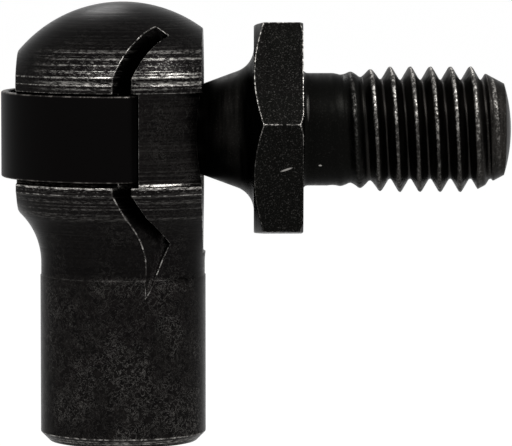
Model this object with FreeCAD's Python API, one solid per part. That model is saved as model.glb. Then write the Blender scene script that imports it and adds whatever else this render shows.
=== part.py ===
import FreeCAD, Part
import math
import os

from FreeCAD import Vector

# Angle ball joint: a turned socket with a threaded shank, a ball stud that leaves it
# square to the shank, and a bent spring-steel safety clip that keeps the ball in.
#
# Millimetres. The origin is the centre of the threaded hole's mouth, in the shank's end
# face. +Z runs up the shank to the ball and +X runs out along the ball stud.

# Ball and seat
ball_dia = 10.0
seat_clearance = 0.05  # radial running clearance, filled with grease
ball_height = 19.4  # shank end face to ball centre

# Shank of the socket
shank_dia = 10.3  # bar size, left as drawn
shank_end_chamfer = 0.57
thread_core_dia = 5.0  # M6 thread in the shank, at its core
thread_mouth_bevel = 0.4
drill_point_angle = 118.0
seat_web = 1.35  # steel left between the drill point and the ball seat

# Turned neck between shank and head
neck_cut = 0.05  # how far the neck is turned below bar size
neck_length = 0.78
neck_fillet_radius = 4.3
neck_fillet_rise = 1.3  # radial growth over the concave fillet
head_taper_height = 1.5

# Head of the socket
head_wall = 2.4  # from the ball's surface to the head's outside
land_width = 0.52
land_rise = 0.05  # how far each land stands proud of the head
groove_depth = 0.45
groove_drop = 0.30  # groove centre below the ball centre
shoulder_height = 0.445  # straight stretch between upper land and dome
dome_rise = 4.425
front_flat_distance = 5.0
back_flat_distance = 6.48
front_flat_drop = 7.6  # how far below the ball centre the front cutter stops
mouth_bevel_width = 0.67
mouth_bevel_depth = 0.36

# Saw slots that let the clip's arms reach in beside the ball
slot_angle = 37.7  # turned from square across the stud, one to each side
slot_past_ball = 0.09  # the slot's front wall just clears the ball
slot_play = 0.385  # slot width beyond the strip's thickness
saw_radius = 21.5
saw_drop = 0.58  # saw centre below the ball centre
arm_tip_gap = 1.53  # from the arm's tip to the root of the slot

# Safety clip
strip_thickness = 0.5
strip_width = 5.3
groove_play = 0.4  # groove width beyond the strip's width
strip_lift = 0.07  # the strip rides this far above the groove's middle
strip_clearance = 0.1  # radial, over the groove's floor
arm_front_gap = 0.07
arm_bend_radius = 0.5  # inside the bend
arm_tip_clearance = 0.05  # between the arm's corner and the ball

# Ball stud
stud_neck_dia = 5.16  # where the neck leaves the ball
stud_neck_angle = 20.15  # half angle of the conical neck
stud_neck_fillet = 1.55
hex_distance = 8.15  # ball centre to the hexagon
hex_across_flats = 12.9  # a 13 mm spanner
hex_turn = 5.4  # how far the near corner is turned up, with the joint at rest
hex_thickness = 3.05
hex_face_inset = 0.05  # neck-side bevel circle inside the flats
hex_back_inset = 0.33  # thread-side bevel circle inside the corners
hex_bevel_angle = 30.0
stud_shank_dia = 7.0
stud_shank_length = 1.5
stud_shank_fillet = 0.3
thread_crest_dia = 7.8  # worn crests of the M8 thread
thread_depth = 0.81  # crest to root
thread_pitch = 1.25
thread_flank_angle = 30.0  # half angle of the groove between crests
thread_crest_flat = 0.15
thread_sectors = 12  # the crests are made in this many sectors, each a short patch of wall
thread_crest_place = 5.43  # hexagon to the first full crest, on the upper side
thread_runout_length = 3.6
thread_length = 5.45
thread_end_bevel_length = 1.95
thread_end_bevel_depth = 1.05
thread_end_dome = 0.43
groove_overcut = 0.1  # the thread's cutter stands out this far beyond the crests
groove_undercut = 0.03  # and reaches this far into the core, which is put back after it

# Worked out from the sizes above
ball_r = ball_dia / 2
seat_r = ball_r + seat_clearance
shank_r = shank_dia / 2
head_r = ball_r + head_wall
land_r = head_r + land_rise
groove_floor_r = head_r - groove_depth
groove_width = strip_width + groove_play
groove_middle = ball_height - groove_drop
slot_front = ball_r + slot_past_ball
slot_width = strip_thickness + slot_play
arm_outside = slot_front - arm_front_gap
arm_inside = arm_outside - strip_thickness
arm_tip = math.sqrt((ball_r + arm_tip_clearance) ** 2 - arm_inside**2)
ball_centre = Vector(0, 0, ball_height)
along_shank = Vector(0, 0, 1)
along_stud = Vector(1, 0, 0)
reach = 4 * (ball_height + head_r)  # longer than the joint, for cutters


def turned(outline, centre, axis):
    """A solid of revolution from the edges of a half section that closes on the axis."""
    return Part.Face(Part.Wire(outline)).revolve(centre, axis, 360)


def at(x, r):
    """A point of the stud's half section, x from the ball's centre and r from its axis."""
    return Vector(x, 0, ball_height + r)


def outline_of(points):
    """Straight edges through the points, one after another."""
    return [Part.makeLine(a, b) for a, b in zip(points, points[1:])]


def arc_about(centre, start, end):
    """The shorter circular edge from start to end about centre."""
    middle = (start - centre).normalize() + (end - centre).normalize()
    middle = centre + middle.normalize() * (start - centre).Length
    return Part.Arc(start, middle, end).toShape()


def socket_blank():
    """The turned outside of the socket, from the shank's chamfer to the top of the dome."""
    neck_r = shank_r - neck_cut
    taper_foot_r = neck_r + neck_fillet_rise
    groove_bottom = groove_middle - groove_width / 2
    groove_top = groove_middle + groove_width / 2
    head_foot = groove_bottom - land_width
    taper_foot = head_foot - head_taper_height
    fillet_r = neck_r + neck_fillet_radius
    fillet_climb = math.sqrt(neck_fillet_radius**2 - (fillet_r - taper_foot_r) ** 2)
    fillet_centre = Vector(fillet_r, 0, taper_foot - fillet_climb)
    neck_top = Vector(neck_r, 0, fillet_centre.z)
    neck_foot = neck_top.z - neck_length
    shoulder = groove_top + land_width + shoulder_height
    dome_r = (head_r**2 + dome_rise**2) / (2 * dome_rise)
    dome_foot = Vector(head_r, 0, shoulder)
    dome_top = Vector(0, 0, shoulder + dome_rise)
    dome_centre = dome_top - Vector(0, 0, dome_r)

    foot = [
        Vector(0, 0, 0),
        Vector(shank_r - shank_end_chamfer, 0, 0),
        Vector(shank_r, 0, shank_end_chamfer),
        Vector(shank_r, 0, neck_foot),
        Vector(neck_r, 0, neck_foot),
        neck_top,
    ]
    head = [
        Vector(taper_foot_r, 0, taper_foot),
        Vector(head_r, 0, head_foot),
        Vector(land_r, 0, head_foot),
        Vector(land_r, 0, groove_bottom),
        Vector(groove_floor_r, 0, groove_bottom),
        Vector(groove_floor_r, 0, groove_top),
        Vector(land_r, 0, groove_top),
        Vector(land_r, 0, groove_top + land_width),
        Vector(head_r, 0, groove_top + land_width),
        dome_foot,
    ]
    outline = outline_of(foot) + [arc_about(fillet_centre, neck_top, head[0])]
    outline += outline_of(head) + [arc_about(dome_centre, dome_foot, dome_top)]
    outline.append(Part.makeLine(dome_top, foot[0]))
    return turned(outline, Vector(), along_shank)


def flat_cutters():
    """Milled flats: a deep one in front, round the mouth, and a shallow one behind."""
    front = Part.makeBox(reach, reach, reach)
    front.translate(Vector(front_flat_distance, -reach / 2, ball_height - front_flat_drop))
    back = Part.makeBox(reach, reach, reach)
    back.translate(Vector(-back_flat_distance - reach, -reach / 2, -reach / 2))
    return [front, back]


def seat_cutters():
    """The ball's seat: a spherical bottom, a straight bore to the front and a bevelled mouth."""
    bottom = Part.makeSphere(seat_r, ball_centre)
    bore = Part.makeCylinder(seat_r, reach, ball_centre, along_stud)
    mouth = Part.makeCone(
        seat_r,
        seat_r + mouth_bevel_width,
        mouth_bevel_depth,
        ball_centre + along_stud * (front_flat_distance - mouth_bevel_depth),
        along_stud,
    )
    return [bottom, bore, mouth]


def shank_hole():
    """The blind tapped hole at its core size, with its drill point and bevelled mouth."""
    core_r = thread_core_dia / 2
    point = core_r / math.tan(math.radians(drill_point_angle / 2))
    depth = ball_height - seat_r - seat_web - point
    outline = outline_of(
        [
            Vector(0, 0, 0),
            Vector(core_r + thread_mouth_bevel, 0, 0),
            Vector(core_r, 0, thread_mouth_bevel),
            Vector(core_r, 0, depth),
            Vector(0, 0, depth + point),
            Vector(0, 0, 0),
        ]
    )
    return turned(outline, Vector(), along_shank)


def slot_axes(side):
    """Unit vectors across a slot, and along it away from the stud; side is 1 or -1 in Y."""
    turn = math.radians(slot_angle)
    across = Vector(math.cos(turn), side * math.sin(turn), 0)
    along = Vector(-math.sin(turn), side * math.cos(turn), 0)
    return across, along


def saw_cut(side):
    """One slot, as the round saw leaves it."""
    across, along = slot_axes(side)
    centre = across * (slot_front - slot_width)
    centre += along * (arm_tip - arm_tip_gap + saw_radius)
    centre += along_shank * (ball_height - saw_drop)
    return Part.makeCylinder(saw_radius, slot_width, centre, across)


def ball_socket():
    cutters = flat_cutters() + seat_cutters() + [shank_hole(), saw_cut(1), saw_cut(-1)]
    return socket_blank().cut(cutters)


def clip_side(offset, side):
    """Points of one side of the strip, offset outwards from its middle: the arm's tip, the
    end, middle and start of its bend."""
    across, along = slot_axes(side)
    band_r = groove_floor_r + strip_clearance + strip_thickness / 2
    bend_r = arm_bend_radius + strip_thickness / 2
    arm = arm_inside + strip_thickness / 2
    bend_along = math.sqrt((band_r - bend_r) ** 2 - (arm - bend_r) ** 2)
    bend = across * (arm - bend_r) + along * bend_along
    outwards = Vector(bend).normalize()
    halfway = (across + outwards).normalize()
    return [
        across * (arm + offset) + along * arm_tip,
        bend + across * (bend_r + offset),
        bend + halfway * (bend_r + offset),
        bend + outwards * (bend_r + offset),
    ]


def clip_outline(offset):
    """One side of the strip: arm, bend, the band round the back, bend and arm."""
    left_tip, left_end, left_middle, left_start = clip_side(offset, 1)
    right_tip, right_end, right_middle, right_start = clip_side(offset, -1)
    band_r = groove_floor_r + strip_clearance + strip_thickness / 2 + offset
    edges = [
        Part.makeLine(left_tip, left_end),
        Part.Arc(left_end, left_middle, left_start).toShape(),
        Part.Arc(left_start, Vector(-band_r, 0, 0), right_start).toShape(),
        Part.Arc(right_start, right_middle, right_end).toShape(),
        Part.makeLine(right_end, right_tip),
    ]
    return edges, left_tip, right_tip


def safety_clip():
    """A strip of spring steel bent round the groove, its two arms turned into the slots."""
    outside, outer_left, outer_right = clip_outline(strip_thickness / 2)
    inside, inner_left, inner_right = clip_outline(-strip_thickness / 2)
    ends = [Part.makeLine(outer_right, inner_right), Part.makeLine(inner_left, outer_left)]
    section = Part.Face(Part.Wire(Part.__sortEdges__(outside + inside + ends)))
    strip = section.extrude(along_shank * strip_width)
    strip.translate(along_shank * (groove_middle + strip_lift - strip_width / 2))
    return strip


def stud_blank():
    """Everything turned on the stud but its thread: ball, conical neck and plain shank."""
    neck_r = stud_neck_dia / 2
    angle = math.radians(stud_neck_angle)
    neck_start = math.sqrt(ball_r**2 - neck_r**2)
    flare_r = neck_r + (hex_distance - neck_start) * math.tan(angle)
    run = stud_neck_fillet * math.tan((math.pi / 2 - angle) / 2)
    hex_back = hex_distance + hex_thickness
    shank = stud_shank_dia / 2
    shank_end = hex_back + stud_shank_length

    flare_start = at(hex_distance - run * math.cos(angle), flare_r - run * math.sin(angle))
    flare_end = at(hex_distance, flare_r + run)
    root_centre = at(hex_back + stud_shank_fillet, shank + stud_shank_fillet)
    root_start = at(hex_back, shank + stud_shank_fillet)
    root_end = at(hex_back + stud_shank_fillet, shank)
    outline = [
        Part.Arc(at(-ball_r, 0), at(0, ball_r), at(neck_start, neck_r)).toShape(),
        Part.makeLine(at(neck_start, neck_r), flare_start),
        arc_about(at(hex_distance - stud_neck_fillet, flare_r + run), flare_start, flare_end),
        Part.makeLine(flare_end, root_start),
        arc_about(root_centre, root_start, root_end),
    ]
    outline += outline_of([root_end, at(shank_end, shank), at(shank_end, 0), at(-ball_r, 0)])
    return turned(outline, ball_centre, along_stud)


def thread_blank():
    """The stud from its plain shank to its domed end, at the diameter of the crests."""
    crest = thread_crest_dia / 2
    start = hex_distance + hex_thickness + stud_shank_length
    full = start + thread_runout_length
    bevel = full + thread_length
    tip = bevel + thread_end_bevel_length
    tip_r = crest - thread_end_bevel_depth
    dome_r = (tip_r**2 + thread_end_dome**2) / (2 * thread_end_dome)
    end = at(tip + thread_end_dome, 0)
    outline = outline_of(
        [
            at(start, 0),
            at(start, stud_shank_dia / 2),
            at(full, crest),
            at(bevel, crest),
            at(tip, tip_r),
        ]
    )
    outline.append(arc_about(at(tip + thread_end_dome - dome_r, 0), at(tip, tip_r), end))
    outline.append(Part.makeLine(end, at(start, 0)))
    turn = 360 / thread_sectors
    sector = Part.Face(Part.Wire(outline)).revolve(ball_centre, along_stud, turn)
    sectors = [sector.rotated(ball_centre, along_stud, turn * k) for k in range(thread_sectors)]
    return sectors[0].fuse(sectors[1:])


def thread_core():
    """What lies below the groove: it rises to the plain shank where the thread runs out."""
    root_r = thread_crest_dia / 2 - thread_depth
    start = hex_distance + hex_thickness + stud_shank_length
    full = start + thread_runout_length
    depth_left = thread_end_bevel_depth - thread_depth
    tip = full + thread_length + thread_end_bevel_length
    end = tip - depth_left * thread_end_bevel_length / thread_end_bevel_depth
    outline = [
        at(start, 0),
        at(start, stud_shank_dia / 2),
        at(full, root_r),
        at(end, root_r),
        at(end, 0),
        at(start, 0),
    ]
    return turned(outline_of(outline), ball_centre, along_stud)


def groove_turn(turn):
    """One turn of the right-handed groove between the crests, counted from the run-out."""
    cut_r = thread_crest_dia / 2 - thread_depth - groove_undercut
    crest_r = thread_crest_dia / 2
    slope = math.tan(math.radians(thread_flank_angle))
    mouth = (thread_pitch - thread_crest_flat) / 2
    foot = mouth - (crest_r - cut_r) * slope
    mouth += groove_overcut * slope
    section = [
        Vector(cut_r, 0, -foot),
        Vector(crest_r + groove_overcut, 0, -mouth),
        Vector(crest_r + groove_overcut, 0, mouth),
        Vector(cut_r, 0, foot),
    ]
    path = Part.Wire(Part.makeHelix(thread_pitch, thread_pitch, cut_r))
    groove = path.makePipeShell([Part.makePolygon(section + section[:1])], True, True)
    if groove.Volume < 0:
        groove.reverse()
    turns_back = math.ceil((thread_crest_place - stud_shank_length) / thread_pitch)
    start = hex_distance + hex_thickness + thread_crest_place
    groove.rotate(Vector(), Vector(0, 1, 0), 90)
    groove.translate(at(start + (turn - turns_back) * thread_pitch, 0))
    return groove


def stud_thread():
    """The threaded end, its groove cut turn by turn down to the core."""
    threaded = thread_blank()
    run = thread_runout_length + thread_length + thread_end_bevel_length
    for turn in range(math.ceil(run / thread_pitch) + 1):
        threaded = threaded.cut(groove_turn(turn))
    return threaded.fuse(thread_core())


def bevel_cone(face_x, circle_r, direction):
    """A cone that opens from a circle in a hexagon face and bevels the corners outside it."""
    slope = math.tan(math.radians(hex_bevel_angle))
    length = hex_across_flats
    centre = ball_centre + along_stud * face_x
    return Part.makeCone(circle_r, circle_r + length / slope, length, centre, direction)


def stud_hexagon():
    """The hexagon, bevelled more on the neck side than behind."""
    corner_r = hex_across_flats / 2 / math.cos(math.pi / 6)
    corners = [Vector(0, -corner_r, 0)]
    for k in range(6):
        corners.append(FreeCAD.Rotation(along_stud, 60).multVec(corners[-1]))
    corners = [FreeCAD.Rotation(along_stud, -hex_turn).multVec(corner) for corner in corners]
    prism = Part.Face(Part.makePolygon(corners)).extrude(along_stud * hex_thickness)
    prism.translate(ball_centre + along_stud * hex_distance)
    front = bevel_cone(hex_distance, hex_across_flats / 2 - hex_face_inset, along_stud)
    back = bevel_cone(hex_distance + hex_thickness, corner_r - hex_back_inset, -along_stud)
    return prism.common(front).common(back)


def ball_stud():
    blank = stud_blank().fuse(stud_hexagon()).removeSplitter()
    return blank.fuse(stud_thread())


nodes = {
    "ball_socket": ball_socket(),
    "safety_clip": safety_clip(),
    "ball_stud": ball_stud(),
}

os.makedirs("parts", exist_ok=True)
for name, shape in nodes.items():
    shape.exportStep(f"parts/{name}.step")
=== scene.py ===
import math

import bmesh
import bpy
from mathutils import Matrix, Vector


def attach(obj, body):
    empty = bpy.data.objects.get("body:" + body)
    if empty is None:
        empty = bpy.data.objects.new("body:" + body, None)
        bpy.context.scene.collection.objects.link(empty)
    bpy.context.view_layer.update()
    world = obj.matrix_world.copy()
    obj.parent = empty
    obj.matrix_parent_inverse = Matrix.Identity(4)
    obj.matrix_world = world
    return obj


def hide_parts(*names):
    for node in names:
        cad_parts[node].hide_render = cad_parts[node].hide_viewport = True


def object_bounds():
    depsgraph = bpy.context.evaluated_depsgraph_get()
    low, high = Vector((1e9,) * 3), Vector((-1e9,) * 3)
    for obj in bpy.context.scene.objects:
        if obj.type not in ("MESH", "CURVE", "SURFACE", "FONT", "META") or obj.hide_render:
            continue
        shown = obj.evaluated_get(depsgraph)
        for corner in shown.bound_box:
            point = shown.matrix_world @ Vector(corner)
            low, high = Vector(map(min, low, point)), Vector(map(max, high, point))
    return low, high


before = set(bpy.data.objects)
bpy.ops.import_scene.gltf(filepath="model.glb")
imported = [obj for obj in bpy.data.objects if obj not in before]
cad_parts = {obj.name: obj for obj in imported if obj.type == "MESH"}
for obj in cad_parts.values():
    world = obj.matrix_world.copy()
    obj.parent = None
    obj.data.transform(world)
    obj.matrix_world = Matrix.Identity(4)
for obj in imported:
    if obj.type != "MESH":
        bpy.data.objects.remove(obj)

MM = 0.001
cad_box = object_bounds()


# ---------------------------------------------------------------------------------------
# Studio. A plain white floor some way below the joint, which is held by its stud, and a
# white surround that gives an even soft light. One softbox hangs high behind the joint and
# two stand in front, the stronger one on the stud's side.

def linear(colour):
    """Linear RGBA from an sRGB hex string such as "8c8f90"."""
    parts = [int(colour[k:k + 2], 16) / 255 for k in (0, 2, 4)]
    return [c / 12.92 if c <= 0.04045 else ((c + 0.055) / 1.055) ** 2.4 for c in parts] + [1.0]


def add(tree, kind, inputs=None, **settings):
    """Adds a node to a tree, with its settings, and fills or links the inputs named. A Mix
    node's inputs go by number: 0 is its factor, 2 and 3 two numbers, 6 and 7 two colours."""
    node = tree.nodes.new(kind)
    for name, value in settings.items():
        setattr(node, name, value)
    for name, value in (inputs or {}).items():
        if isinstance(value, bpy.types.NodeSocket):
            tree.links.new(value, node.inputs[name])
        else:
            node.inputs[name].default_value = value
    return node


def new_material(name):
    """An empty node material and its tree."""
    material = bpy.data.materials.new(name)
    material.use_nodes = True
    material.node_tree.nodes.clear()
    return material, material.node_tree


def mesh_object(name, mesh):
    """An object at the origin that shows a mesh."""
    made = bpy.data.objects.new(name, mesh)
    bpy.context.scene.collection.objects.link(made)
    return made


def seen_white(tree):
    """1 for what the camera, metal and glass see of the surroundings, 0 for their light."""
    path = add(tree, "ShaderNodeLightPath")
    seen = path.outputs["Is Camera Ray"]
    for ray in ("Is Transmission Ray", "Is Glossy Ray"):
        seen = add(tree, "ShaderNodeMath", {0: seen, 1: path.outputs[ray]},
                   operation="MAXIMUM").outputs[0]
    return seen


floor_drop = 16 * MM
floor_size = 3.0
floor_white = "f4f4f4"
floor_shade_share = 0.12  # how much of the floor's own shading is seen
floor_glow = 1.06  # makes up for that shading, so that the floor is white where it's bare

floor_mesh = bpy.data.meshes.new("floor")
side = floor_size / 2
corners = [(-side, -side), (side, -side), (side, side), (-side, side)]
floor_mesh.from_pydata([(x, y, -floor_drop) for x, y in corners], [], [(0, 1, 2, 3)])
floor = mesh_object("floor", floor_mesh)

# Matt white paper: shades as paper, and looks white to the camera and in reflections.
paper, tree = new_material("white_paper")
seen = add(tree, "ShaderNodeMath", {0: seen_white(tree), 1: 1 - floor_shade_share},
           operation="MULTIPLY")
matt = add(tree, "ShaderNodeBsdfDiffuse", {"Color": linear(floor_white)})
glow = add(tree, "ShaderNodeEmission", {"Color": linear("ffffff"), "Strength": floor_glow})
mixed = add(tree, "ShaderNodeMixShader", {
    0: seen.outputs[0], 1: matt.outputs[0], 2: glow.outputs[0]})
add(tree, "ShaderNodeOutputMaterial", {"Surface": mixed.outputs[0]})
floor_mesh.materials.append(paper)

# Surround: white to the camera and in reflections, and for the light a soft dome, a little
# brighter overhead.
eye_level_light = 0.55
overhead_light = 0.60
overhead_from = 0.75  # the sine of the height at which the dome counts as overhead
world = bpy.data.worlds.new("studio")
bpy.context.scene.world = world
world.use_nodes = True
tree = world.node_tree
tree.nodes.clear()
direction = add(tree, "ShaderNodeTexCoord")
height = add(tree, "ShaderNodeSeparateXYZ", {0: direction.outputs["Generated"]})
level = add(tree, "ShaderNodeMapRange", {
    "Value": height.outputs["Z"], "From Min": 0.0, "From Max": overhead_from,
    "To Min": eye_level_light, "To Max": overhead_light}, interpolation_type="SMOOTHSTEP")
strength = add(tree, "ShaderNodeMix", {0: seen_white(tree), 2: level.outputs[0], 3: 1.0},
               data_type="FLOAT")
sky = add(tree, "ShaderNodeBackground", {"Color": linear("ffffff"), "Strength": strength.outputs[0]})
add(tree, "ShaderNodeOutputWorld", {"Surface": sky.outputs[0]})

# Softboxes, each turned towards the middle of the joint.
softboxes = [  # name, place and size in metres, watts
    ("back_softbox", (-0.03, 0.21, 0.19), (0.05, 0.08), 0.13),
    ("right_softbox", (0.165, -0.115, 0.25), (0.12, 0.10), 0.52),
    ("left_softbox", (-0.08, -0.185, 0.25), (0.10, 0.08), 0.30)]
joint_middle = (cad_box[0] + cad_box[1]) / 2
for name, place, size, watts in softboxes:
    lamp = bpy.data.lights.new(name, "AREA")
    lamp.shape = "RECTANGLE"
    lamp.size, lamp.size_y = size
    lamp.energy = watts
    softbox = bpy.data.objects.new(name, lamp)
    softbox.location = place
    softbox.rotation_euler = (joint_middle - Vector(place)).to_track_quat("-Z", "Y").to_euler()
    bpy.context.scene.collection.objects.link(softbox)

# A long lens a little above the joint, level across the stud.
camera_height_angle = math.radians(4.6)
camera_distance = 280 * MM
camera_lens = 316
camera_film = 36
camera_aim = Vector((8.29, 0, 13.55)) * MM
camera_data = bpy.data.cameras.new("camera")
camera_data.lens = camera_lens
camera_data.sensor_width = camera_film
camera_data.clip_start = 10 * MM
camera = bpy.data.objects.new("camera", camera_data)
away = Vector((0, -math.cos(camera_height_angle), math.sin(camera_height_angle)))
camera.location = camera_aim + away * camera_distance
camera.rotation_euler = (-away).to_track_quat("-Z", "Y").to_euler()
bpy.context.scene.collection.objects.link(camera)
bpy.context.scene.camera = camera
bpy.context.scene.view_settings.view_transform = "Standard"


# ---------------------------------------------------------------------------------------
# Ball socket. One length of free-cutting steel bar, turned to shape, bored from the front
# for the ball, milled flat in front and behind, and slit by a round saw on both sides.
# It is blacked all over, and bare steel shows where its edges and turned ridges rub.

ball_radius = 5.0 * MM
ball_height = 19.4 * MM  # shank end to ball centre
seat_radius = ball_radius + 0.05 * MM
shank_radius = 5.15 * MM
shank_chamfer = 0.57 * MM
hole_radius = 2.5 * MM  # M6 thread at its core
hole_bevel = 0.4 * MM
drill_point_angle = math.radians(118)
seat_web = 1.35 * MM  # steel between the drill point and the seat
neck_radius = shank_radius - 0.05 * MM
neck_length = 0.78 * MM
neck_fillet = 4.3 * MM
taper_foot_radius = neck_radius + 1.3 * MM
taper_height = 1.5 * MM
head_radius = ball_radius + 2.4 * MM
land_rise = 0.05 * MM
land_radius = head_radius + land_rise
land_width = 0.52 * MM
groove_floor = head_radius - 0.45 * MM
groove_width = 5.7 * MM
groove_middle = ball_height - 0.3 * MM
shoulder_height = 0.445 * MM
dome_rise = 4.425 * MM
front_flat = 5.0 * MM
front_flat_foot = ball_height - 7.6 * MM
back_flat = 6.48 * MM
mouth_bevel_width = 0.67 * MM
mouth_bevel_depth = 0.36 * MM
slot_angle = math.radians(37.7)
slot_front = ball_radius + 0.09 * MM
slot_width = 0.885 * MM
slot_root = 0.72 * MM  # the saw's edge, past the ball's nearest point to the slot
saw_radius = 21.5 * MM
saw_height = ball_height - 0.58 * MM
edge_round = 0.045 * MM
smallest_edge = math.radians(28)  # of the edges that are rounded
turn_steps = 256
fillet_steps = 16
dome_steps = 48
finest_ring = 0.4 * MM
nothing = 0.005 * MM  # a radius below this is a pole
same_place = 0.002 * MM  # points nearer than this are one


def arc(centre, start, end, steps):
    """Points after start on the shorter arc about centre that leads to end."""
    first = math.atan2(start[1] - centre[1], start[0] - centre[0])
    turn = math.atan2(end[1] - centre[1], end[0] - centre[0]) - first
    turn = (turn + math.pi) % (2 * math.pi) - math.pi
    radius = math.dist(centre, start)
    angles = [first + turn * k / steps for k in range(1, steps + 1)]
    return [(centre[0] + radius * math.cos(a), centre[1] + radius * math.sin(a)) for a in angles]


def rings_of(outline):
    """The outline's points, with more between them so that none are far apart."""
    rings = [outline[0]]
    for start, end in zip(outline, outline[1:]):
        parts = math.ceil(math.dist(start, end) / finest_ring)
        rings += [tuple(Vector(start).lerp(Vector(end), k / parts)) for k in range(1, parts + 1)]
    return rings


def turned(name, outline, axis, steps=turn_steps):
    """A closed solid turned about the shank (Z) or the stud (X) from points (along the
    axis, radius) that start and end on it."""
    vertices, rows, faces = [], [], []
    for along, radius in rings_of(outline):
        count = steps if radius > nothing else 1
        rows.append(range(len(vertices), len(vertices) + count))
        for k in range(count):
            angle = 2 * math.pi * k / steps
            across, up = radius * math.cos(angle), radius * math.sin(angle)
            vertices.append((across, up, along) if axis == "Z" else (along, across, ball_height + up))
    for low, high in zip(rows, rows[1:]):
        for k in range(steps):
            loop = [low[k % len(low)], low[(k + 1) % len(low)],
                    high[(k + 1) % len(high)], high[k % len(high)]]
            if len(set(loop)) > 2:
                faces.append(list(dict.fromkeys(loop)))
    mesh = bpy.data.meshes.new(name)
    mesh.from_pydata(vertices, [], faces)
    face_outwards(mesh)
    return mesh_object(name, mesh)


def face_outwards(mesh):
    """Turns a closed mesh's faces outwards."""
    work = bmesh.new()
    work.from_mesh(mesh)
    bmesh.ops.recalc_face_normals(work, faces=work.faces)
    work.to_mesh(mesh)
    work.free()


def settle(made):
    """Bakes an object's modifiers into its mesh."""
    graph = bpy.context.evaluated_depsgraph_get()
    mesh = bpy.data.meshes.new_from_object(made.evaluated_get(graph))
    made.modifiers.clear()
    made.data = mesh
    return mesh


def cut_away(solid, cutters):
    """Cuts each cutter out of the solid and throws the cutters away."""
    for cutter in cutters:
        cut = solid.modifiers.new("cut", "BOOLEAN")
        cut.operation, cut.solver, cut.object = "DIFFERENCE", "EXACT", cutter
    settle(solid)
    for cutter in cutters:
        bpy.data.objects.remove(cutter)


def block(name, low, high):
    """A rectangular cutter between two corners."""
    mesh = bpy.data.meshes.new(name)
    work = bmesh.new()
    bmesh.ops.create_cube(work, size=1)
    for vertex in work.verts:
        vertex.co = [b if c > 0 else a for a, b, c in zip(low, high, vertex.co)]
    work.to_mesh(mesh)
    work.free()
    return mesh_object(name, mesh)


def saw_disc(side):
    """The saw where it ends its cut, on the side of Y given by 1 or -1."""
    across = Vector((math.cos(slot_angle), side * math.sin(slot_angle), 0))
    along = Vector((-math.sin(slot_angle), side * math.cos(slot_angle), 0))
    centre = across * (slot_front - slot_width / 2) + along * (slot_root + saw_radius)
    centre.z = saw_height
    mesh = bpy.data.meshes.new("saw")
    work = bmesh.new()
    bmesh.ops.create_cone(work, cap_ends=True, segments=3 * turn_steps, radius1=saw_radius,
                          radius2=saw_radius, depth=slot_width)
    turn = across.to_track_quat("Z", "Y").to_matrix().to_4x4()
    bmesh.ops.transform(work, verts=work.verts, matrix=Matrix.Translation(centre) @ turn)
    work.to_mesh(mesh)
    work.free()
    return mesh_object("saw", mesh)


def round_edges(made, width, steps):
    """Rounds the marked edges, and writes a corner attribute that is 1 on the rounding and
    on faces of the second material, and elsewhere what the mesh already has as rubbed."""
    while len(made.data.materials) < 2:
        made.data.materials.append(None)
    bevel = made.modifiers.new("round", "BEVEL")
    bevel.limit_method, bevel.width, bevel.segments = "WEIGHT", width, steps
    bevel.use_clamp_overlap, bevel.material, bevel.harden_normals = False, 1, True
    mesh = settle(made)
    worn = mesh.attributes.new("worn", "FLOAT", "CORNER")
    rubbed = mesh.attributes.get("rubbed")
    for face in mesh.polygons:
        for k in face.loop_indices:
            share = rubbed.data[mesh.loops[k].vertex_index].value if rubbed else 0
            worn.data[k].value = max(share, face.material_index)
        face.material_index = 0
    mesh.materials.pop()


groove_bottom = groove_middle - groove_width / 2
groove_top = groove_middle + groove_width / 2
head_foot = groove_bottom - land_width
taper_foot = head_foot - taper_height
fillet_radius = neck_radius + neck_fillet
fillet_climb = math.sqrt(neck_fillet ** 2 - (fillet_radius - taper_foot_radius) ** 2)
neck_top = taper_foot - fillet_climb
neck_foot = neck_top - neck_length
land_top = groove_top + land_width
shoulder = land_top + shoulder_height
dome_radius = (head_radius ** 2 + dome_rise ** 2) / (2 * dome_rise)
dome_top = shoulder + dome_rise

outline = [
    (0, 0), (0, shank_radius - shank_chamfer), (shank_chamfer, shank_radius),
    (neck_foot - land_rise / 2, shank_radius), (neck_foot + land_rise / 2, neck_radius),
    (neck_top, neck_radius)]
outline += arc((neck_top, fillet_radius), outline[-1], (taper_foot, taper_foot_radius), fillet_steps)
outline += [
    (head_foot, head_radius), (head_foot + land_rise, land_radius),
    (groove_bottom, land_radius), (groove_bottom, groove_floor),
    (groove_top, groove_floor), (groove_top, land_radius),
    (land_top - land_rise, land_radius), (land_top, head_radius), (shoulder, head_radius)]
outline += arc((dome_top - dome_radius, 0), outline[-1], (dome_top, 0), dome_steps)
socket = turned("turned_socket", outline, "Z")

drill_point = hole_radius / math.tan(drill_point_angle / 2)
hole_end = ball_height - seat_radius - seat_web
seat_outline = arc((0, 0), (-seat_radius, 0), (0, seat_radius), dome_steps)
seat_outline = [(-seat_radius, 0)] + seat_outline + [
    (front_flat - mouth_bevel_depth, seat_radius),
    (front_flat, seat_radius + mouth_bevel_width),
    (front_flat + mouth_bevel_depth, seat_radius + 2 * mouth_bevel_width),
    (front_flat + mouth_bevel_depth, 0)]
hole_outline = [
    (-hole_bevel, 0), (-hole_bevel, hole_radius + 2 * hole_bevel), (hole_bevel, hole_radius),
    (hole_end - drill_point, hole_radius), (hole_end, 0)]
clear = 4 * head_radius  # well outside the head
cut_away(socket, [
    block("front_cutter", (front_flat, -clear, front_flat_foot), (clear, clear, clear)),
    block("back_cutter", (-clear, -clear, -clear), (-back_flat, clear, clear)),
    turned("seat_cutter", seat_outline, "X"),
    turned("hole_cutter", hole_outline, "Z", turn_steps // 2),
    saw_disc(1),
    saw_disc(-1),
])

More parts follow.
